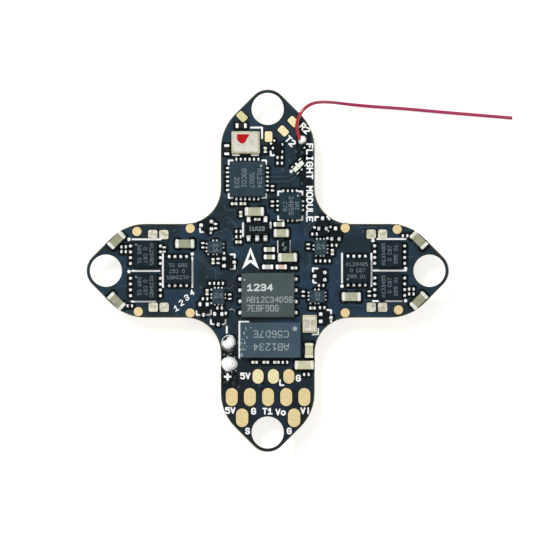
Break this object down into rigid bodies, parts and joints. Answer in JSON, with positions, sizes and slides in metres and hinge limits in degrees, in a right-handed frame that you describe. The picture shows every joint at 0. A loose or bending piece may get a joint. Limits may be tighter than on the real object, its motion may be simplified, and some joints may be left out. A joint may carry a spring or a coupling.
{
  "type": "flight controller board",
  "caption": "Thin cross-shaped circuit board with a grommet hole in each arm, chips on both faces, cable sockets, a boot button and a short wire antenna.",
  "frame": {"origin": "centre of the four grommet holes, on the board's underside face", "axes": "+X to the board's right, +Y the flight direction that the printed arrow points in, +Z out of the component side"},
  "size_m": [0.0486, 0.0412, 0.0051],
  "materials": {
    "solder_mask": "dark blue-black solder mask over glass-fibre board",
    "pad_gold": "immersion gold over copper",
    "wire_enamel": "red enamel over copper wire",
    "solder": "bright tin solder",
    "chip_moulding": "black epoxy moulding",
    "controller_moulding": "blue-grey epoxy moulding",
    "memory_moulding": "green-grey epoxy moulding",
    "overlay_moulding": "slate-blue epoxy moulding",
    "ceramic_base": "cream ceramic",
    "lid_metal": "satin metal lid",
    "capacitor_ceramic": "tan ceramic",
    "filter_ceramic": "pale green ceramic",
    "resistor_film": "black film on ceramic",
    "tinned_ends": "bright tin plating",
    "socket_plastic": "natural nylon",
    "socket_metal": "tinned contacts",
    "ferrite": "grey ferrite",
    "button_case": "black plastic",
    "button_steel": "stamped steel",
    "button_plastic": "black plastic",
    "light_lens": "pale resin"
  },
  "bodies": {
    "board": {"antenna_filter": "filter_ceramic", "antenna_solder_joint": "solder", "antenna_switch": "chip_moulding", "antenna_wire": "wire_enamel", "barometer": "lid_metal", "battery_solder_joints": "solder", "boost_inductor": "ferrite", "boot_button_case": "button_case", "boot_button_cover": "button_steel", "chip_resistor_ends": "tinned_ends", "chip_resistors": "resistor_film", "circuit_board": "solder_mask", "gyro_sensor": "chip_moulding", "large_capacitor_ends": "tinned_ends", "large_capacitors": "capacitor_ceramic", "load_switch": "chip_moulding", "main_processor": "chip_moulding", "memory_chip": "memory_moulding", "motor_controller_1": "controller_moulding", "motor_controller_2": "controller_moulding", "motor_controller_3": "controller_moulding", "motor_controller_4": "controller_moulding", "motor_socket_1": "socket_plastic", "motor_socket_2": "socket_plastic", "motor_socket_3": "socket_plastic", "motor_socket_4": "socket_plastic", "motor_socket_contacts": "socket_metal", "motor_transistor_1": "chip_moulding", "motor_transistor_2": "chip_moulding", "motor_transistor_3": "chip_moulding", "motor_transistor_4": "chip_moulding", "motor_transistor_5": "chip_moulding", "motor_transistor_6": "chip_moulding", "programming_pads": "pad_gold", "radio_chip": "chip_moulding", "radio_oscillator": "ceramic_base", "radio_oscillator_lid": "lid_metal", "receiver_processor": "chip_moulding", "regulator_body": "chip_moulding", "regulator_leads": "tinned_ends", "round_test_pads": "pad_gold", "signal_diode": "chip_moulding", "signal_pads": "pad_gold", "signal_transistor_leads": "tinned_ends", "signal_transistors": "chip_moulding", "small_capacitor_ends": "tinned_ends", "small_capacitors": "capacitor_ceramic", "status_lights": "light_lens", "underside_crystals": "ceramic_base", "underside_crystals_lids": "lid_metal", "underside_transistors": "chip_moulding", "usb_socket": "socket_plastic", "usb_socket_contacts": "socket_metal", "video_crystal": "ceramic_base", "video_crystal_lid": "lid_metal", "video_overlay_chip": "overlay_moulding", "wire_pads": "pad_gold"},
    "button": {"boot_button": "button_plastic"}
  },
  "joints": [
    {"name": "boot_button_press", "type": "slide", "parent": "board", "child": "button", "axis": [0, 0, 1], "range_m": [0, 0.0002], "stiffness_N_per_m": 400}
  ]
}
